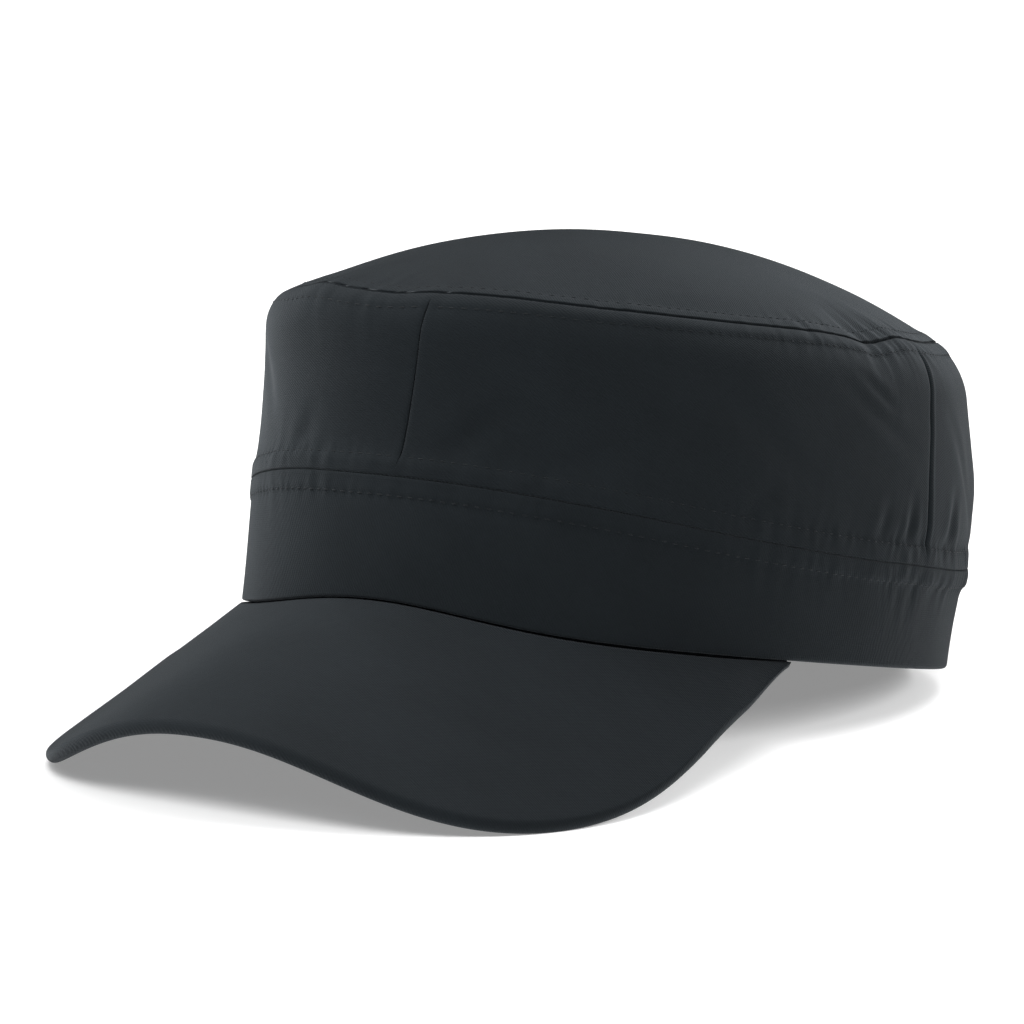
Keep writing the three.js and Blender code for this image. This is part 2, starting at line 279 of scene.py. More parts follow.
def smooth_table(value, places, amounts):
    """The amounts of a short table joined by a smooth curve that never overshoots."""
    places, amounts = shaped(places), shaped(amounts)
    slope = np.diff(amounts) / np.diff(places)
    tangent = np.zeros(len(places))
    both = slope[1:] * slope[:-1] > 0
    tangent[1:-1][both] = 2 * slope[1:][both] * slope[:-1][both] / (slope[1:] + slope[:-1])[both]
    tangent[0], tangent[-1] = slope[0], slope[-1]
    i = np.clip(np.searchsorted(places, value, side="right") - 1, 0, len(places) - 2)
    width = places[i + 1] - places[i]
    t = (value - places[i]) / width
    start = (1 + 2 * t) * (1 - t) ** 2 * amounts[i] + t * (1 - t) ** 2 * width * tangent[i]
    end = t * t * (3 - 2 * t) * amounts[i + 1] + t * t * (t - 1) * width * tangent[i + 1]
    return start + end


# Oval of the head opening


def around(angle, line):
    """A value that runs smoothly from front over the sides to back."""
    a = np.radians(angle)
    front, side, back = line["front"], line["side"], line["back"]
    mean = (front + 2 * side + back) / 4
    return mean + (front - back) / 2 * np.cos(a) + (front - 2 * side + back) / 4 * np.cos(2 * a)


def oval_point(angle, outset, height):
    """Points at angles round the cap, outset outside the rim's oval, at heights above the rim."""
    a = np.radians(angle)
    x = (HEAD_WIDTH / 2 + outset) * np.sin(a)
    y = -(HEAD_LENGTH / 2 + outset) * np.cos(a)
    return np.stack(np.broadcast_arrays(x, y, height), -1)


def turn_between(start, end):
    """Signed angle from one direction round the cap to another."""
    return (end - start + 180) % 360 - 180


ODOMETER_ANGLES = np.linspace(-360, 720, 6481)
ODOMETER_STEPS = np.linalg.norm(np.diff(oval_point(ODOMETER_ANGLES, 0, 0), axis=0), axis=1)
ODOMETER = np.concatenate([[0], np.cumsum(ODOMETER_STEPS)])
TURN = ODOMETER[-1] / 3
ODOMETER = ODOMETER - TURN


def rim_length(angle):
    """Distance along the rim from the front to an angle."""
    return np.interp(angle, ODOMETER_ANGLES, ODOMETER)


def rim_angle(length):
    """Angle at a distance along the rim from the front."""
    return np.interp(length, ODOMETER, ODOMETER_ANGLES)


# Irregularity of cloth: smooth noise from -1 to 1 that closes on itself after one turn round the cap


def noise_along(length, wave, seed):
    """Noise along a line, with knots about a wave apart."""
    count = max(3, round(TURN / wave))
    knots = np.random.default_rng(seed).uniform(-1, 1, count)
    place = length / TURN * count
    low = np.floor(place).astype(int)
    t = soft_step(place - low, 0, 1)
    return knots[low % count] * (1 - t) + knots[(low + 1) % count] * t


def noise_over(length, height, wave, tall, seed):
    """Noise over a face that also repeats itself after NOISE_ROWS rows of height tall."""
    count, rows = max(3, round(TURN / wave)), NOISE_ROWS
    knots = np.random.default_rng(seed).uniform(-1, 1, (rows, count))
    place, level = length / TURN * count, height / tall
    low, base = np.floor(place).astype(int), np.floor(level).astype(int)
    t, u = soft_step(place - low, 0, 1), soft_step(level - base, 0, 1)
    lower = knots[base % rows, low % count] * (1 - t) + knots[base % rows, (low + 1) % count] * t
    upper = knots[(base + 1) % rows, low % count] * (1 - t) + knots[(base + 1) % rows, (low + 1) % count] * t
    return lower * (1 - u) + upper * u


# Lines round the cap


def rim_height(angle):
    """Lower edge of the band: it arches up over the peak."""
    share = np.minimum(np.abs(turn_between(RIM_ARCH_ANGLE, angle)) / PEAK_END_ANGLE, 1)
    return RIM_FRONT_RISE * ((1 + np.cos(np.pi * share)) / 2) ** RIM_RISE_POWER


def band_seam_height(angle):
    """Height of the seam between band and crown wall."""
    wander = BAND_SEAM_WANDER * noise_along(rim_length(angle), BAND_SEAM_WAVE, SEEDS["band_seam"])
    return BAND_HEIGHT * around(angle, BAND_SEAM_HEIGHT) + wander


def top_seam_height(angle):
    """Height of the seam between crown wall and top."""
    sag = sum(deep * bell(turn_between(centre, angle), spread) for centre, spread, deep in TOP_SEAM_SAGS)
    wander = TOP_SEAM_WANDER * noise_along(rim_length(angle), TOP_SEAM_WAVE, SEEDS["top_seam"])
    return CROWN_HEIGHT * around(angle, SHOULDER_HEIGHT) - sag + wander


def band_seam_outset(angle):
    """How far the band seam lies outside the rim's oval."""
    return WALL_SWELL * around(angle, BAND_SEAM_OUTSET)


def shoulder_outset(angle):
    """How far the top of the crown wall lies outside the rim's oval, before it rolls in."""
    return WALL_SWELL * around(angle, SHOULDER_OUTSET)


def rolled_share(up):
    """How far the wall has rolled in towards the top seam, along an ellipse that ends in the dome's slope."""
    share = ROLL_TURN * np.clip((up - ROLL_FROM) / (1 - ROLL_FROM), 0, 1)
    return (1 - np.sqrt(1 - share**2)) / (1 - np.sqrt(1 - ROLL_TURN**2))


def seam_strength(angle):
    """How clearly the top seam shows, up to 1."""
    pressed = sum(bell(turn_between(centre, angle), spread) for centre, spread in PRESSED)
    return np.clip(1 - PRESSED_SHARE * pressed, LEAST_STRENGTH, 1)


def band_ridge(angle):
    """How far the folded-under cloth stands proud on both sides of the band seam."""
    back = soft_step(np.abs(turn_between(0, angle)), *BAND_RIDGE_CHANGE)
    return BAND_RIDGE_FRONT + (BAND_RIDGE_BACK - BAND_RIDGE_FRONT) * back


def seam_direction(angle, climb):
    """Unit vectors that point away from the cap at a seam, climbing so many degrees above level."""
    a, c = np.radians(angle), np.radians(climb)
    level = np.stack([HEAD_LENGTH * np.sin(a), -HEAD_WIDTH * np.cos(a), 0 * a], -1)
    level /= np.linalg.norm(level, axis=-1, keepdims=True)
    return level * np.cos(c) + np.array([0, 0, np.sin(c)])


def turned_to(normal, direction, distance):
    """Normals that turn to a shared direction close to a seam, so that both its cloths follow one line."""
    share = 1 - soft_step(distance, *SEAM_TURN_REACH)[..., None]
    mixed = normal * (1 - share) + direction * share
    return mixed / np.linalg.norm(mixed, axis=-1, keepdims=True)


# Relief of sewn cloth, in millimetres outwards


def gathering(angle):
    """How much more than usual the stitching gathers the cloth, from 0."""
    return sum(strength * bell(turn_between(centre, angle), spread) for centre, spread, strength in GATHERED)


def seam_relief(angle, distance, ridge, pucker, seed):
    """Relief beside a topstitched seam: folded cloth stands proud up to the stitches, which pull it in."""
    length, past = rim_length(angle), distance - STITCH_FROM_SEAM
    allowance = ridge * (1 - soft_step(past, -0.5, 1.1))
    groove = -GROOVE_DEPTH * bell(past, GROOVE_WIDTH)
    pulled = -STITCH_PULL * np.cos(2 * np.pi * length / STITCH_PITCH) * bell(past, 1.0)
    slant = PUCKER_SLANT * distance * noise_along(length, PUCKER_SLANT_WAVE, seed + 1)
    ripple = noise_along(length + slant, PUCKER_WAVE, seed)
    ripple = ripple + 0.5 * noise_along(length - slant, PUCKER_WAVE / 2, seed + 2)
    patchy = 0.55 + 0.45 * noise_along(length, PUCKER_PATCH_WAVE, seed + 3) + gathering(angle)
    reach = PUCKER_REACH + 2.0 * noise_along(length, PUCKER_REACH_WAVE, seed + 4) + 1.4 * gathering(angle)
    envelope = (0.35 + 0.65 * soft_step(distance, 0, 2)) * np.exp(-np.maximum(past, 0) / reach)
    return allowance + groove + pulled + pucker * ripple * np.maximum(patchy, 0.1) * envelope


def upright_seam_relief(offset, height, seam):
    """Relief beside an upright seam: a crease before it, and behind a side seam the cloth stands proud."""
    crease = FRONT_CREASE if seam is FRONT_SEAM else SIDE_CREASE
    behind = offset if seam is LEFT_SEAM else -offset
    depth = crease["deep"] * bell(offset, crease["wide"]) * seam_waver(height, SEEDS["upright_crease"])
    return crease["proud"] * bell(behind - 1.2, 0.8) - depth


def seam_waver(height, seed):
    """How deep a seam's crease is along its way up, about 1."""
    return 1 + WAVER * noise_along(height, WAVER_WAVE, seed)


def plain_seam_relief(distance, height):
    """Relief beside the band's back seam: a narrow crease with a faint swelling next to it."""
    depth = BACK_CREASE["deep"] * bell(distance, BACK_CREASE["wide"])
    return BACK_CREASE["proud"] * bell(distance - 2.2, 1.5) - depth * seam_waver(height, SEEDS["back_crease"])


def fold_relief(length, height, fold, wall_height):
    """A crease with slightly raised sides that fades out at both its ends."""
    (from_angle, from_up), (to_angle, to_up), wide, deep = fold
    start = np.array([rim_length(from_angle), from_up * wall_height])
    run = np.array([rim_length(to_angle), to_up * wall_height]) - start
    offset = np.stack([(length - start[0] + TURN / 2) % TURN - TURN / 2, height - start[1]], -1)
    share = np.clip(offset @ run / (run @ run), 0, 1)
    across = np.linalg.norm(offset - share[..., None] * run, axis=-1) / wide
    fade = np.sin(np.pi * np.clip(0.12 + 0.76 * share, 0, 1)) ** 1.5
    return -deep * (1 - across**2) * np.exp(-(across**2) / 2) * fade


def slow_swells(layers, length, height, seed):
    """The slow swells of cloth that has been handled."""
    return sum(
        deep * noise_over(length, height, wave, tall, seed + number)
        for number, (deep, wave, tall) in enumerate(layers)
    )


def dent_depth(angle, up):
    """How deep the soft dents of the crown wall are."""
    depth = 0
    for centre, height, wide, tall, deep in WALL_DENTS:
        across = bell(turn_between(centre, angle), wide)
        depth = depth + WALL_SWELL * deep * across * bell(up - height, tall)
    return depth * np.sqrt(np.sin(np.pi * np.clip(up, 0, 1)))


# Sheets: an outer face of points in rows that run up and columns that run round, and its cloth behind it


def grid_normals(points, closed):
    """Unit vectors out of a face of points."""
    if closed:
        across = np.roll(points, -1, 1) - np.roll(points, 1, 1)
    else:
        across = np.gradient(points, axis=1)
    normal = np.cross(across, np.gradient(points, axis=0))
    return normal / np.maximum(np.linalg.norm(normal, axis=-1, keepdims=True), 1e-9)


def row_distances(points):
    """Distance of each point from the face's lower edge, along its column."""
    steps = np.linalg.norm(np.diff(points, axis=0), axis=-1)
    return np.concatenate([np.zeros((1, points.shape[1])), np.cumsum(steps, 0)])


def edge_share(distance, rounding):
    """1 inside a sheet, falling to 0 at its edge as a quarter of an ellipse does."""
    inside = np.clip(distance / rounding, 0, 1)
    return np.sqrt(np.clip(1 - (1 - inside) ** 2, 0, 1))


def edge_rows(total, rounding_low, rounding_high):
    """Heights of the rows of a sheet: evenly spaced, with a few more where its edges round off."""
    middle_count = max(4, round((total - rounding_low - rounding_high) / GRID_STEP))
    middle = np.linspace(rounding_low, total - rounding_high, middle_count + 1)
    return np.concatenate([EDGE_ROWS * rounding_low, middle, total - (EDGE_ROWS * rounding_high)[::-1]])


def to_row_frame(points):
    """Points of the upright cap, in millimetres, as they lie on the surface, in metres."""
    lean = np.radians(LEAN)
    lift = HEAD_LENGTH / 2 * np.sin(lean) - RIM_PRESSED_FLAT
    x, y, z = points[..., 0], points[..., 1], points[..., 2]
    back, up = y * np.cos(lean) + z * np.sin(lean), z * np.cos(lean) - y * np.sin(lean) + lift
    return np.stack([x, back, up], -1) / METRE + [0, SHIFT_BACK, 0]


def new_piece(name, points, faces, cloth, material, body="root"):
    """A smooth mesh with a place on its cloth for every point, in millimetres, that rides on a body."""
    mesh = bpy.data.meshes.new(name)
    placed = to_row_frame(points)
    placed[:, 2] = np.maximum(placed[:, 2], 0)
    mesh.from_pydata(placed.tolist(), [], faces)
    mesh.polygons.foreach_set("use_smooth", [True] * len(mesh.polygons))
    layer = mesh.attributes.new("cloth", "FLOAT_VECTOR", "POINT")
    layer.data.foreach_set("vector", cloth.astype(np.float32).ravel())
    mesh.update()
    obj = bpy.data.objects.new(name, mesh)
    obj.data.materials.append(material)
    bpy.context.scene.collection.objects.link(obj)
    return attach(obj, body)


def sheet_faces(rows, columns, closed):
    """Faces of a sheet whose first rows run up its outer face and whose last rows run down its inner face."""
    index = np.arange(rows * columns).reshape(rows, columns)
    below, above = index, np.roll(index, -1, 0)
    if closed:
        quads = np.stack([below, np.roll(below, -1, 1), np.roll(above, -1, 1), above], -1)
    else:
        quads = np.stack([below[:, :-1], below[:, 1:], above[:, 1:], above[:, :-1]], -1)
    faces = quads.reshape(-1, 4).tolist()
    if not closed:
        half = rows // 2
        outer, inner = index[:half], index[half:][::-1]
        first = np.stack([outer[:-1, 0], outer[1:, 0], inner[1:, 0], inner[:-1, 0]], -1)
        last = np.stack([inner[:-1, -1], inner[1:, -1], outer[1:, -1], outer[:-1, -1]], -1)
        faces += first.tolist() + last.tolist()
    return faces


def sheet_piece(name, face, thickness, material):
    """A sheet of cloth behind a face. Its full says how much of its thickness it has at each point."""
    middle = face["points"] - face["normal"] * thickness / 2
    reach = face["normal"] * (thickness / 2 * face["full"])[..., None]
    points = np.concatenate([middle + reach, (middle - reach)[::-1]])
    cloth = np.concatenate([face["cloth"], face["cloth"][::-1] + [0, 0, 1]])
    faces = sheet_faces(len(points), points.shape[1], face["closed"])
    return new_piece(name, points.reshape(-1, 3), faces, cloth.reshape(-1, 3), material)


# Headband


def headband_face():
    """Outer face of the band, how full it is, and where each of its points is on the cloth."""
    columns = round(TURN / GRID_STEP)
    length = (np.arange(columns) / columns - 0.5) * TURN
    angle = rim_angle(length)
    rows = edge_rows(BAND_HEIGHT, BAND_CLOTH / 2, SEAM_ROUND) / BAND_HEIGHT
    a, up = np.meshgrid(angle, rows)
    s = rim_length(a)
    low = rim_height(a)
    high = band_seam_height(a) + SEAM_LAP / 2
    out = WALL_SWELL * around(a, SWELL) * smooth_table(up, BAND_UP, BAND_OUT)
    base = oval_point(a, band_seam_outset(a) * up + out, low + (high - low) * up)
    from_rim = row_distances(base)
    from_seam = from_rim[-1] - from_rim
    relief = seam_relief(a, from_seam, band_ridge(a), BAND_PUCKER, SEEDS["band_relief"])
    swells = BAND_SWELL_SHARE * slow_swells(CLOTH_SWELLS, s, from_rim, SEEDS["band_cloth"])
    relief += swells * np.sin(np.pi * np.clip(up, 0, 1))
    relief += plain_seam_relief(np.minimum(s + TURN / 2, TURN / 2 - s), from_rim)
    away = seam_direction(a, BAND_SEAM_CLIMB)
    face = base + turned_to(grid_normals(base, True), away, from_seam) * relief[..., None]
    over_peak = 1 - soft_step(np.abs(turn_between(0, a)), *OVER_PEAK_TO)
    rim_round = BAND_CLOTH / 2 * (1 - (1 - RIM_ROUND_OVER_PEAK) * over_peak)
    full = edge_share(from_rim, rim_round) * edge_share(from_seam, SEAM_ROUND)
    cloth = np.stack([s, from_rim, 0 * s], -1)
    return {"points": face, "normal": turned_to(grid_normals(face, True), away, from_seam), "full": full,
            "cloth": cloth, "length": s, "from_high": from_seam, "from_low": from_rim, "closed": True}


# Crown wall


def wall_rows():
    """Height shares of a panel's rows, which lie evenly along the cloth, also where it rolls in."""
    wall_height = CROWN_HEIGHT - BAND_HEIGHT
    up = np.linspace(0, 1, 4001)
    steps = np.hypot(np.diff(up) * wall_height, np.diff(rolled_share(up)) * TOP_ROLL)
    run = np.concatenate([[0], np.cumsum(steps)])
    return np.interp(edge_rows(run[-1], SEAM_ROUND, SEAM_ROUND), run, up)


def seam_angle(seam, up):
    """Angle round the cap of an upright seam at a share of the wall's height."""
    return seam["foot"] * (1 - up) + seam["head"] * up + seam["bow"] * 4 * up * (1 - up)


def wall_face(from_seam, to_seam):
    """Outer face of one panel of the crown wall between two upright seams."""
    up = wall_rows()[:, None]
    start = rim_length(seam_angle(from_seam, up)) - SEAM_LAP / 2
    end = rim_length(seam_angle(to_seam, up)) + SEAM_LAP / 2
    width = float(end[0, 0] - start[0, 0])
    s = start + (end - start) * edge_rows(width, SIDE_ROUND, SIDE_ROUND) / width
    a, up = rim_angle(s), np.broadcast_to(up, s.shape)
    wall_height = CROWN_HEIGHT - BAND_HEIGHT
    low = band_seam_height(a) - SEAM_LAP / 2
    high = top_seam_height(a)
    straight = band_seam_outset(a) * (1 - up) + shoulder_outset(a) * up
    swell = WALL_SWELL * around(a, SWELL) * smooth_table(up, WALL_UP, WALL_OUT)
    out = straight + swell - dent_depth(a, up) - TOP_ROLL * rolled_share(up)
    base = oval_point(a, out, low + (high - low) * up)
    from_low = row_distances(base)
    from_high = from_low[-1] - from_low
    strength = seam_strength(a)
    relief = seam_relief(a, from_low, band_ridge(a), BAND_PUCKER, SEEDS["band_relief"])
    relief += strength * seam_relief(a, from_high, TOP_RIDGE, TOP_PUCKER, SEEDS["top_relief"])
    away = soft_step(from_low, *WALL_CALM_LOW) * soft_step(from_high, *WALL_CALM_HIGH)
    relief += away * slow_swells(CLOTH_SWELLS, s, from_low, SEEDS["wall_cloth"])
    relief += away * sum(fold_relief(s % TURN, from_low, fold, wall_height) for fold in WALL_FOLDS)
    shown = soft_step(from_low, *UPRIGHT_CALM) * soft_step(from_high, *UPRIGHT_CALM)
    relief += shown * upright_seam_relief(s - start, from_low, from_seam)
    relief += shown * upright_seam_relief(s - end, from_low, to_seam)
    outwards = grid_normals(base, False)
    ways = ((seam_direction(a, BAND_SEAM_CLIMB), from_low), (seam_direction(a, TOP_SEAM_CLIMB), from_high))
    for direction, distance in ways:
        outwards = turned_to(outwards, direction, distance)
    face = base + outwards * relief[..., None]
    normal = grid_normals(face, False)
    for direction, distance in ways:
        normal = turned_to(normal, direction, distance)
    from_side = np.minimum(s - start, end - s)
    full = edge_share(from_low, SEAM_ROUND) * (1 - strength * (1 - edge_share(from_high, SEAM_ROUND)))
    full = full * edge_share(from_side, SIDE_ROUND * np.maximum(shown, 0.05))
    cloth = np.stack([s, from_low, 0 * s], -1)
    return {"points": face, "normal": normal, "full": full, "cloth": cloth,
            "length": s, "from_high": from_high, "from_low": from_low, "closed": False}


# Top panel


def top_face():
    """Outer face of the domed top, in rows from its seam to a small ring at its middle."""
    columns = TOP_GRID_COLUMNS
    length = np.arange(columns) * TURN / columns
    round_share = SEAM_ROUND / (HEAD_WIDTH / 2)
    rest = np.linspace(1 - round_share, 0, TOP_GRID_ROWS + 1)[:-1]
    share = np.concatenate([1 - EDGE_ROWS * round_share, 1 - (1 - rest) ** TOP_GRID_CROWDING])
    a, r = np.meshgrid(rim_angle(length), share)
    rim = oval_point(a, shoulder_outset(a) - TOP_ROLL + SEAM_LAP, 0)
    even = CROWN_HEIGHT * around(a, SHOULDER_HEIGHT)
    tilt = CROWN_HEIGHT * (SHOULDER_HEIGHT["front"] - SHOULDER_HEIGHT["back"]) / 2 * np.cos(np.radians(a))
    local = (top_seam_height(a) - even) * soft_step(r, TOP_SAG_FROM, 1)
    bent = even - CROWN_HEIGHT - tilt
    z = CROWN_HEIGHT + tilt * r + bent * r**2 + local + TOP_RISE * (1 - r**TOP_ROUNDNESS)
    base = np.stack([rim[..., 0] * r, rim[..., 1] * r - TOP_PEAK_SHIFT * (1 - r), z], -1)
    from_seam = row_distances(base)
    strength = seam_strength(a)
    relief = strength * seam_relief(a, from_seam, TOP_RIDGE, TOP_PUCKER, SEEDS["top_relief"])
    swells = slow_swells(DOME_SWELLS, base[..., 0] + 200, base[..., 1] + 200, SEEDS["dome"])
    relief += swells * soft_step(from_seam, *DOME_CALM)
    away = seam_direction(a, TOP_SEAM_CLIMB)
    face = base + turned_to(grid_normals(base, True), away, from_seam) * relief[..., None]
    full = 1 - strength * (1 - edge_share(from_seam, SEAM_ROUND))
    cloth = np.stack([base[..., 0], base[..., 1], 0 * a], -1)
    return {"points": face, "normal": turned_to(grid_normals(face, True), away, from_seam), "full": full,
            "cloth": cloth, "length": rim_length(a), "from_low": from_seam, "closed": True}


def top_piece(face, material):
    """The domed top: a sheet in rings, closed at its middle on both faces."""
    middle = face["points"] - face["normal"] * TOP_CLOTH / 2
    reach = face["normal"] * (TOP_CLOTH / 2 * face["full"])[..., None]
    rows, columns = middle.shape[:2]
    points = np.concatenate([(middle - reach)[::-1], middle + reach])
    cloth = np.concatenate([face["cloth"][::-1] + [0, 0, 1], face["cloth"]])
    index = np.arange(2 * rows * columns).reshape(2 * rows, columns)
    quads = np.stack([index[:-1], np.roll(index[:-1], -1, 1), np.roll(index[1:], -1, 1), index[1:]], -1)
    faces = quads.reshape(-1, 4).tolist()
    centres = np.stack([points[0].mean(0), points[-1].mean(0)])
    centre_cloth = np.stack([cloth[0].mean(0), cloth[-1].mean(0)])
    under, over = 2 * rows * columns, 2 * rows * columns + 1
    faces += [[under, int(b), int(a)] for a, b in zip(index[0], np.roll(index[0], -1))]
    faces += [[over, int(a), int(b)] for a, b in zip(index[-1], np.roll(index[-1], -1))]
    all_points = np.concatenate([points.reshape(-1, 3), centres])
    all_cloth = np.concatenate([cloth.reshape(-1, 3), centre_cloth])
    return new_piece("top_panel_cloth", all_points, faces, all_cloth, material)


# Peak


def peak_thickness(along):
    """Thickness of the peak, which thins towards its ends."""
    taper = soft_step(np.abs(along), PEAK_THINNING_SHARE, PEAK_END_SHARE)
    return PEAK_THICKNESS * (1 - taper) + PEAK_END_THICKNESS * taper


def peak_inner(along):
    """Line in the middle of the peak's thickness where it goes under the band."""
    angle = along * PEAK_END_ANGLE
    return oval_point(angle, -PEAK_TUCK, rim_height(angle) - PEAK_BELOW_RIM - peak_thickness(along) / 2)


def side_share(turn):
    """Rises from 0 at the front to 1 where the side edge drops fastest, and falls to 0 at the peak's end."""
    most = (5 / 6) ** 5 / 6
    return np.sin(turn) ** 10 * np.cos(turn) ** 2 / most


def oval_share(cosine, power):
    """Share of a half axis that a superellipse reaches at a sine or cosine."""
    return np.sign(cosine) * np.abs(cosine) ** (2 / power)


def peak_edge(along):
    """Line in the middle of the peak's thickness along its free edge."""
    turn = np.radians(along * 90)
    end = oval_point(shaped(PEAK_END_ANGLE), 0, 0)
    closing = np.abs(np.sin(turn)) ** PEAK_CLOSING_POWER
    half_width = PEAK_SPREAD * (1 - closing) + end[0] * closing
    reach = HEAD_LENGTH / 2 + PEAK_REACH + end[1]
    mean = (PEAK_DROP_FRONT + 2 * PEAK_DROP_CORNER + PEAK_DROP_END) / 4
    front_to_end = (PEAK_DROP_FRONT - PEAK_DROP_END) / 2
    corner = (PEAK_DROP_FRONT - 2 * PEAK_DROP_CORNER + PEAK_DROP_END) / 4
    drop = mean + front_to_end * np.cos(2 * turn) + corner * np.cos(4 * turn)
    drop += PEAK_DROP_SIDE * side_share(turn)
    from_here, lowest, to_here = PEAK_SAG_SHARES
    sag = soft_step(np.abs(along), from_here, lowest) * (1 - soft_step(np.abs(along), lowest, to_here))
    drop += PEAK_END_SAG * sag
    x = half_width * oval_share(np.sin(turn), PEAK_POWER)
    y = end[1] - reach * oval_share(np.cos(turn), PEAK_POWER)
    trim = np.clip((np.abs(along) - PEAK_TRIM_FROM) / (PEAK_END_SHARE - PEAK_TRIM_FROM), 0, 1)
    trim = (PEAK_TRIM * trim**2)[..., None]
    return np.stack([x, y, -drop], -1) * (1 - trim) + peak_inner(along) * trim


def peak_middle(along, out):
    """Points in the middle of the peak's thickness, out from 0 at the band to 1 at the free edge."""
    return peak_inner(along) * (1 - out)[..., None] + peak_edge(along) * out[..., None]


def peak_normal(along, out):
    """Unit vectors out of the peak's upper face."""
    step = 0.002
    across = peak_middle(along + step, out) - peak_middle(along - step, out)
    normal = np.cross(across, peak_inner(along) - peak_edge(along))
    return normal / np.linalg.norm(normal, axis=-1, keepdims=True)


def peak_face(alongs, side):
    """One face of the peak in rows: round edge, flat part, then the upstand sewn inside the band."""
    width = np.linalg.norm(peak_inner(alongs) - peak_edge(alongs), axis=-1)
    radius = peak_thickness(alongs) / 2
    rows = []
    for turn in np.radians(np.linspace(0, 90, PEAK_EDGE_ROWS)):
        out = 1 - radius * (1 - np.cos(turn)) / width
        away = (side * radius * np.sin(turn))[:, None]
        rows.append(peak_middle(alongs, out) + peak_normal(alongs, out) * away)
    for share in np.linspace(0, 1, PEAK_GRID_ROWS + 1)[1:]:
        out = 1 - (radius + (width - radius) * share) / width
        point = peak_middle(alongs, out)
        swells = slow_swells(PEAK_SWELLS, point[:, 0] + 200, point[:, 1] + 300, SEEDS["peak"])
        swells = swells * soft_step(share, 0, 0.3) * soft_step(1 - share, 0, 0.2)
        rows.append(point + peak_normal(alongs, out) * (side * radius + swells)[:, None])
    angle = alongs * PEAK_END_ANGLE
    foot = -BAND_CLOTH - PEAK_TUCK_GAP - (side < 0) * PEAK_UPSTAND_CLOTH
    level = rows[-1][:, 2]
    top = rim_height(angle) + PEAK_UPSTAND
    for share in np.linspace(0, 1, PEAK_UPSTAND_ROWS):
        rows.append(oval_point(angle, foot, level * (1 - share) + top * share))
    return np.array(rows)


def peak_piece(material):
    """The stiff peak: two faces joined by a round edge, and an upstand that hides in the band."""
    alongs = PEAK_END_SHARE * np.linspace(-1, 1, PEAK_GRID_COLUMNS + 1)
    upper, lower = peak_face(alongs, 1), peak_face(alongs, -1)
    points = np.concatenate([upper, lower[:0:-1]])
    x, y, z = points[..., 0], points[..., 1], points[..., 2]
    cloth = np.stack([x + 0.3 * z, y + 0.8 * z, 0 * z], -1)
    rows, columns = points.shape[:2]
    index = np.arange(rows * columns).reshape(rows, columns)
    below, above = index, np.roll(index, -1, 0)
    quads = np.stack([below[:, :-1], below[:, 1:], above[:, 1:], above[:, :-1]], -1).reshape(-1, 4).tolist()
    front, back = index[: len(upper)], np.roll(index, -1, 0)[::-1][: len(upper)]
    for column, order in ((0, 1), (columns - 1, -1)):
        for i in range(len(upper) - 1):
            corners = [front[i, column], front[i + 1, column], back[i + 1, column], back[i, column]]
            corners = list(dict.fromkeys(int(c) for c in corners))
            if len(corners) > 2:
                quads.append(corners[::order])
    return new_piece("peak_cloth", points.reshape(-1, 3), quads, cloth.reshape(-1, 3), material)


# Stitches: short threads that lie on a face in a row beside its seam


def sample_face(face, column, row):
    """Points and normals of a face at fractional columns and rows."""
    rows, columns = face["points"].shape[:2]
    c0, r0 = np.floor(column).astype(int), np.clip(np.floor(row).astype(int), 0, rows - 2)
    t, u = (column - c0)[:, None], (row - r0)[:, None]
    c1 = (c0 + 1) % columns if face["closed"] else np.clip(c0 + 1, 0, columns - 1)
    c0 = c0 % columns if face["closed"] else np.clip(c0, 0, columns - 1)
    mixed = []
    for grid in (face["points"], face["normal"]):
        lower = grid[r0, c0] * (1 - t) + grid[r0, c1] * t
        upper = grid[r0 + 1, c0] * (1 - t) + grid[r0 + 1, c1] * t
        mixed.append(lower * (1 - u) + upper * u)
    return mixed


def row_at(distances, wanted):
    """Fractional row of each column at which its distance from an edge is the wanted one."""
    rows = np.arange(len(distances))
    places = []
    for column in distances.T:
        order = np.argsort(column)
        places.append(np.interp(wanted, column[order], rows[order]))
    return np.array(places)


def stitch_row(face, edge):
    """Centre lines of the stitches in a row beside one edge of a face, and the face's normals there."""
    line_rows = row_at(face[edge], STITCH_FROM_SEAM)
    lengths = face["length"][0]
    columns = np.arange(len(lengths), dtype=float)
    first, last = lengths[0] + STITCH_END_GAP, lengths[-1] - STITCH_END_GAP
    if face["closed"]:
        first, last = lengths[0], lengths[0] + TURN
    count = int((last - first) // STITCH_PITCH)
    centres = first + (np.arange(count) + 0.5) * (last - first) / count
    jitter = np.random.default_rng(count).uniform(-STITCH_JITTER, STITCH_JITTER, (count, 2))
    places = centres[:, None] + jitter[:, :1] + STITCH_PLACES * STITCH_LENGTH
    if face["closed"]:
        lengths = np.append(lengths, lengths[0] + TURN)
        columns = np.append(columns, len(columns))
        line_rows = np.append(line_rows, line_rows[0])
    column = np.interp(places.ravel(), lengths, columns)
    row = np.interp(column, np.arange(len(line_rows)), line_rows)
    row = row + np.repeat(jitter[:, 1] * 0.6, len(STITCH_PLACES))
    points, normals = sample_face(face, column, row)
    lift = np.tile(STITCH_LIFT, count)[:, None]
    shape = (count, len(STITCH_PLACES), 3)
    return (points + normals * lift).reshape(shape), normals.reshape(shape)


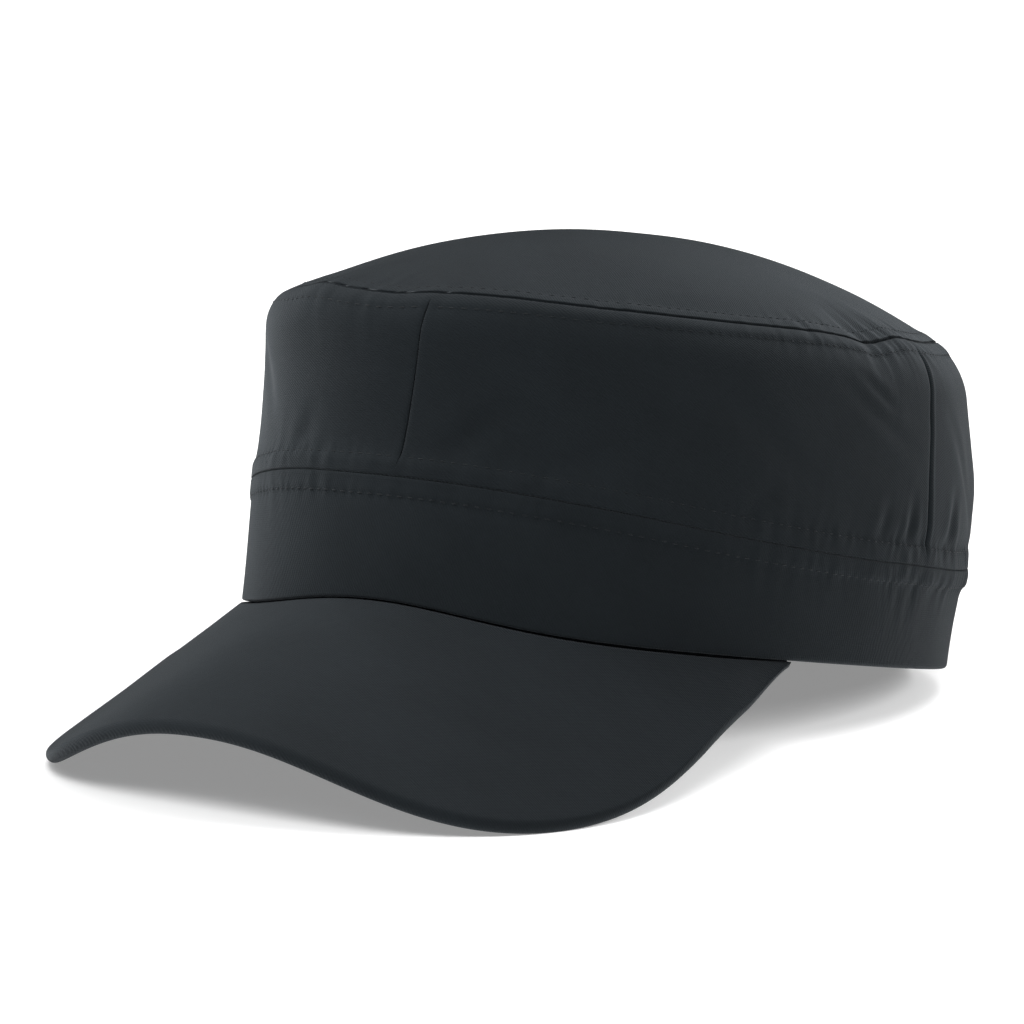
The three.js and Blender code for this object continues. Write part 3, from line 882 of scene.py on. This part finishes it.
def stitches_piece(name, rows, material):
    """One mesh of all the stitches of some rows: each a short thread with closed ends."""
    centres = np.concatenate([r[0] for r in rows])
    normals = np.concatenate([r[1] for r in rows])
    along = np.gradient(centres, axis=1)
    along /= np.linalg.norm(along, axis=-1, keepdims=True)
    sideways = np.cross(along, normals)
    sideways /= np.linalg.norm(sideways, axis=-1, keepdims=True)
    turns = np.radians(np.arange(THREAD_SIDES) * 360 / THREAD_SIDES)
    radius = THREAD_RADIUS * np.array(THREAD_TAPER)
    ring = sideways[:, :, None] * np.cos(turns)[None, None, :, None]
    ring = ring + normals[:, :, None] * np.sin(turns)[None, None, :, None]
    points = centres[:, :, None] + ring * radius[None, :, None, None]
    count, rings, sides = points.shape[:3]
    index = np.arange(count * rings * sides).reshape(count, rings, sides)
    low, high = index[:, :-1], index[:, 1:]
    quads = np.stack([low, high, np.roll(high, -1, 2), np.roll(low, -1, 2)], -1)
    faces = quads.reshape(-1, 4).tolist() + index[:, 0].tolist() + index[:, -1, ::-1].tolist()
    twist = np.broadcast_to(np.arange(rings)[None, :, None], (count, rings, sides))
    cloth = np.stack([twist * 1.0, np.broadcast_to(np.arange(sides), twist.shape) * 1.0, 0 * twist], -1)
    return new_piece(name, points.reshape(-1, 3), faces, cloth.reshape(-1, 3), material)


# Materials

RIB_PITCH = 0.6
YARN_PITCH = 0.5
RIB_RELIEF = 0.1
RIB_WOBBLE = 9.0
YARN_WOBBLE = 6.0
YARN_SHARE = 0.35
FUZZ_HEIGHT = 1.6
FUZZ_TONE = 0.5
FUZZ_ROUGHNESS = 0.16
WEAVE_TONE = 0.09
TONE_START = 0.28
BUMP_STRENGTH = 0.3
TWILL_SPECULAR = 0.1
TWILL_SHEEN_ROUGHNESS = 0.45
THREAD_SPECULAR = 0.15
THREAD_SHEEN = 0.08
CROWN_DARK = (0.0063, 0.0083, 0.0099, 1)
CROWN_LIGHT = (0.0123, 0.0159, 0.0188, 1)
PEAK_DARK = (0.0064, 0.0084, 0.01, 1)
PEAK_LIGHT = (0.0125, 0.016, 0.019, 1)
THREAD_DARK = (0.0042, 0.0056, 0.0068, 1)
THREAD_LIGHT = (0.0078, 0.0104, 0.0126, 1)
SHEEN_TINT = (0.85, 0.93, 1.0, 1.0)


def add_node(tree, kind, inputs=(), **settings):
    """A node with its settings, each of its inputs either joined to another node or set to a value."""
    node = tree.nodes.new(kind)
    for key, value in settings.items():
        setattr(node, key, value)
    for key, value in dict(inputs).items():
        if isinstance(value, bpy.types.NodeSocket):
            tree.links.new(value, node.inputs[key])
        else:
            node.inputs[key].default_value = value
    return node


def calculate(tree, operation, first, second=0.0, third=0.0, clamp=False):
    """The result of a Math node."""
    inputs = {0: first, 1: second, 2: third}
    return add_node(tree, "ShaderNodeMath", inputs, operation=operation, use_clamp=clamp).outputs[0]


def cloth_material(name):
    """A new material, its nodes and the place of each point on the cloth."""
    material = bpy.data.materials.new(name)
    material.use_nodes = True
    tree = material.node_tree
    return material, tree, add_node(tree, "ShaderNodeAttribute", attribute_name="cloth").outputs["Vector"]


def finish_cloth(tree, tone, dark, light, rough, specular, sheen):
    """Gives a cloth material its colour, between dark and light by the tone, its roughness and its nap."""
    shader = tree.nodes["Principled BSDF"]
    colour = add_node(tree, "ShaderNodeMix", {"Factor": tone, "A": dark, "B": light}, data_type="RGBA")
    tree.links.new(colour.outputs["Result"], shader.inputs["Base Color"])
    tree.links.new(rough, shader.inputs["Roughness"])
    shader.inputs["Specular IOR Level"].default_value = specular
    shader.inputs["Sheen Weight"].default_value = sheen
    shader.inputs["Sheen Tint"].default_value = SHEEN_TINT


def twill_material(name, dark, light, sheen, weave_angle, roughness):
    """Matt cotton twill: diagonal ribs crossed by yarns, cloudy dye and a worn nap."""
    material, tree, place = cloth_material(name)
    wobble_inputs = {"Vector": place, "Scale": 0.35, "Detail": 2.0}
    wobble = add_node(tree, "ShaderNodeTexNoise", wobble_inputs).outputs["Fac"]
    axes = add_node(tree, "ShaderNodeSeparateXYZ", {0: place}).outputs
    turned = np.radians(weave_angle)
    ribs = calculate(tree, "MULTIPLY", axes["X"], float(2 * np.pi / RIB_PITCH * np.cos(turned)))
    ribs = calculate(tree, "MULTIPLY_ADD", axes["Y"], float(2 * np.pi / RIB_PITCH * np.sin(turned)), ribs)
    ribs = calculate(tree, "MULTIPLY_ADD", wobble, RIB_WOBBLE, ribs)
    rib_wave = calculate(tree, "SINE", ribs)
    yarns = calculate(tree, "MULTIPLY", axes["Y"], float(2 * np.pi / YARN_PITCH))
    yarns = calculate(tree, "MULTIPLY_ADD", wobble, YARN_WOBBLE, yarns)
    yarn_wave = calculate(tree, "SINE", yarns)
    weave = calculate(tree, "MULTIPLY_ADD", yarn_wave, YARN_SHARE, rib_wave)
    fuzz_inputs = {"Vector": place, "Scale": 2.2, "Detail": 5.0, "Roughness": 0.7}
    fuzz = add_node(tree, "ShaderNodeTexNoise", fuzz_inputs)
    height = calculate(tree, "MULTIPLY_ADD", fuzz.outputs["Fac"], FUZZ_HEIGHT, weave)
    cloud_inputs = {"Vector": place, "Scale": 0.03, "Detail": 4.0, "Roughness": 0.6}
    clouds = add_node(tree, "ShaderNodeTexNoise", cloud_inputs)
    tone = calculate(tree, "MULTIPLY_ADD", weave, WEAVE_TONE, clouds.outputs["Fac"])
    tone = calculate(tree, "MULTIPLY_ADD", fuzz.outputs["Fac"], FUZZ_TONE, tone)
    tone = calculate(tree, "SUBTRACT", tone, TONE_START, clamp=True)
    start = roughness - FUZZ_ROUGHNESS / 2
    rough = calculate(tree, "MULTIPLY_ADD", fuzz.outputs["Fac"], FUZZ_ROUGHNESS, start)
    finish_cloth(tree, tone, dark, light, rough, TWILL_SPECULAR, sheen)
    shader = tree.nodes["Principled BSDF"]
    bump_inputs = {"Height": height, "Strength": BUMP_STRENGTH, "Distance": RIB_RELIEF / METRE}
    bump = add_node(tree, "ShaderNodeBump", bump_inputs)
    tree.links.new(bump.outputs["Normal"], shader.inputs["Normal"])
    shader.inputs["Sheen Roughness"].default_value = TWILL_SHEEN_ROUGHNESS
    return material


def thread_material():
    """Spun thread, a little smoother than the cloth, with a twist along it."""
    material, tree, place = cloth_material("sewing_thread")
    twist = add_node(tree, "ShaderNodeTexWave", {"Vector": place, "Scale": 1.4, "Distortion": 0.6})
    twist.bands_direction = "DIAGONAL"
    tone = twist.outputs["Fac"]
    rough = calculate(tree, "MULTIPLY_ADD", tone, 0.2, 0.5)
    finish_cloth(tree, tone, THREAD_DARK, THREAD_LIGHT, rough, THREAD_SPECULAR, THREAD_SHEEN)
    return material


# Camera at the photograph's place, then floor and light

IMAGE_PIXELS = 1024
SENSOR_WIDTH = 36.0
CAMERA_AZIMUTH = 35.0
CAMERA_ELEVATION = 8.112
CAMERA_DISTANCE = 0.8537
CAMERA_FOCAL_PIXELS = 3682.3
CAMERA_AIM = Vector((0, -0.01657, 0.05136))
FLOOR_RADIUS = 60.0
FLOOR_GLOW = 0.274
LIGHT_DISTANCE = 3.0
SOFTBOX_TURNS = (-38.0, 8.0, 52.0)
SOFTBOX_ELEVATION = 60.0
SOFTBOX_WIDTH = 2.6
SOFTBOX_HEIGHT = 2.4
SOFTBOX_STRENGTH = 59.0
HORIZON_STRENGTH = 0.2
OVERHEAD_STRENGTH = 0.02

# Suns: name, direction towards it, strength, how wide it is and whether it shines on the floor alone
SUNS = [
    ("right_light", (0.49, 0.34, 1.0), 0.15, 30, "EXCLUDE"),
    ("front_floor_light", (0.56, -0.76, 1.0), 2.4, 24, "INCLUDE"),
    ("top_floor_light", (0.0, 0.0, 1.0), 2.1, 120, "INCLUDE"),
    ("side_floor_light", (1.02, 0.287, 0.5), 3.2, 22, "INCLUDE"),
]


def add_camera():
    """The camera, at its distance from the point that it looks at."""
    azimuth, elevation = np.radians(CAMERA_AZIMUTH), np.radians(CAMERA_ELEVATION)
    level = np.cos(elevation)
    back = Vector((np.sin(azimuth) * level, -np.cos(azimuth) * level, np.sin(elevation)))
    data = bpy.data.cameras.new("camera")
    data.sensor_width = SENSOR_WIDTH
    data.lens = CAMERA_FOCAL_PIXELS * SENSOR_WIDTH / IMAGE_PIXELS
    data.clip_end = 200
    camera = bpy.data.objects.new("camera", data)
    camera.location = CAMERA_AIM + back * CAMERA_DISTANCE
    camera.rotation_euler = back.to_track_quat("Z", "Y").to_euler()
    bpy.context.scene.collection.objects.link(camera)
    bpy.context.scene.camera = camera


def add_floor():
    """A wide pale disc."""
    bpy.ops.mesh.primitive_circle_add(vertices=96, radius=FLOOR_RADIUS, fill_type="NGON", location=(0, 0, 0))
    floor = bpy.context.object
    floor.name = "floor"
    material = bpy.data.materials.new("pale_floor")
    material.use_nodes = True
    shader = material.node_tree.nodes["Principled BSDF"]
    shader.inputs["Base Color"].default_value = (0.8, 0.8, 0.8, 1)
    shader.inputs["Emission Color"].default_value = (1, 1, 1, 1)
    shader.inputs["Emission Strength"].default_value = FLOOR_GLOW
    shader.inputs["Roughness"].default_value = 0.75
    shader.inputs["Specular IOR Level"].default_value = 0.2
    floor.data.materials.append(material)
    return floor


def link_light(light, floor, state):
    """Makes a light shine on the floor alone, INCLUDE, or on everything but the floor, EXCLUDE."""
    receivers = bpy.data.collections.new(light.name + "_receivers")
    receivers.objects.link(floor)
    receivers.collection_objects[0].light_linking.link_state = state
    light.light_linking.receiver_collection = receivers


def add_light(name, kind, direction, strength, floor, state, **settings):
    """A light that shines at the cap from a direction, on the floor alone or on everything but the floor."""
    data = bpy.data.lights.new(name, kind)
    data.energy = strength
    for key, value in settings.items():
        setattr(data, key, value)
    light = bpy.data.objects.new(name, data)
    towards = Vector(direction).normalized()
    light.location = towards * LIGHT_DISTANCE
    light.rotation_euler = towards.to_track_quat("Z", "Y").to_euler()
    bpy.context.scene.collection.objects.link(light)
    link_light(light, floor, state)


def add_lights(floor):
    """Broad softboxes in an arc on the left, a weak light on the right and three lights for the floor."""
    level, height = np.cos(np.radians(SOFTBOX_ELEVATION)), np.sin(np.radians(SOFTBOX_ELEVATION))
    for number, turn in enumerate(SOFTBOX_TURNS):
        azimuth = np.radians(CAMERA_AZIMUTH + turn)
        direction = (-level * np.cos(azimuth), -level * np.sin(azimuth), height)
        size = {"shape": "RECTANGLE", "size": SOFTBOX_WIDTH, "size_y": SOFTBOX_HEIGHT}
        add_light("softbox_%d" % number, "AREA", direction, SOFTBOX_STRENGTH, floor, "EXCLUDE", **size)
    for name, direction, strength, angle, state in SUNS:
        add_light(name, "SUN", direction, strength, floor, state, angle=np.radians(angle))


def faded(tree, value, low, high):
    """0 on one side of low, 1 past high and smooth between, whichever of the two is the lower."""
    inputs = {"Value": value, "From Min": low, "From Max": high}
    return add_node(tree, "ShaderNodeMapRange", inputs, interpolation_type="SMOOTHSTEP").outputs[0]


def add_sky():
    """A dark studio with a pale ring at the horizon."""
    world = bpy.data.worlds.new("studio")
    world.use_nodes = True
    tree = world.node_tree
    direction = add_node(tree, "ShaderNodeTexCoord").outputs["Generated"]
    height = add_node(tree, "ShaderNodeSeparateXYZ", {0: direction}).outputs["Z"]
    ring = calculate(tree, "MULTIPLY", faded(tree, height, 0.2, 0.08), HORIZON_STRENGTH)
    strength = calculate(tree, "ADD", ring, OVERHEAD_STRENGTH)
    tree.links.new(strength, tree.nodes["Background"].inputs["Strength"])
    tree.nodes["Background"].inputs["Color"].default_value = (1, 1, 1, 1)
    bpy.context.scene.world = world


add_camera()
add_lights(add_floor())
add_sky()
bpy.context.scene.view_settings.view_transform = "Standard"

# The front of the peak lies where the solid's does.
SHIFT_BACK = 0.0
front_of_peak = to_row_frame(peak_edge(shaped([0.0])))[0, 1]
SHIFT_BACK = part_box("peak")[0].y - front_of_peak

crown_twill = twill_material("crown_twill", CROWN_DARK, CROWN_LIGHT, 0.12, 58, 0.9)
band_twill = twill_material("band_twill", CROWN_DARK, CROWN_LIGHT, 0.1, 32, 0.9)
peak_twill = twill_material("peak_twill", PEAK_DARK, PEAK_LIGHT, 0.1, 58, 0.86)
thread = thread_material()

left_face = wall_face(FRONT_SEAM, LEFT_SEAM)
right_face = wall_face(RIGHT_SEAM, FRONT_SEAM)
back_face = wall_face(LEFT_SEAM, RIGHT_SEAM_ROUND)
band_face = headband_face()
crown_top = top_face()

panels = {"side_panel_left": left_face, "side_panel_right": right_face, "back_panel": back_face}
for node, face in panels.items():
    cloth = sheet_piece(node + "_cloth", face, WALL_CLOTH, crown_twill)
    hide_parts(node)
    rows = [stitch_row(face, "from_low"), stitch_row(face, "from_high")]
    stitches = stitches_piece(node + "_stitches", rows, thread)
    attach(stitches, "root")

band = sheet_piece("headband_cloth", band_face, BAND_CLOTH, band_twill)
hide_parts("headband")
band_stitches = stitches_piece("headband_stitches", [stitch_row(band_face, "from_high")], thread)

top = top_piece(crown_top, crown_twill)
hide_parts("top_panel")
top_stitches = stitches_piece("top_panel_stitches", [stitch_row(crown_top, "from_low")], thread)

peak = peak_piece(peak_twill)
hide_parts("peak")
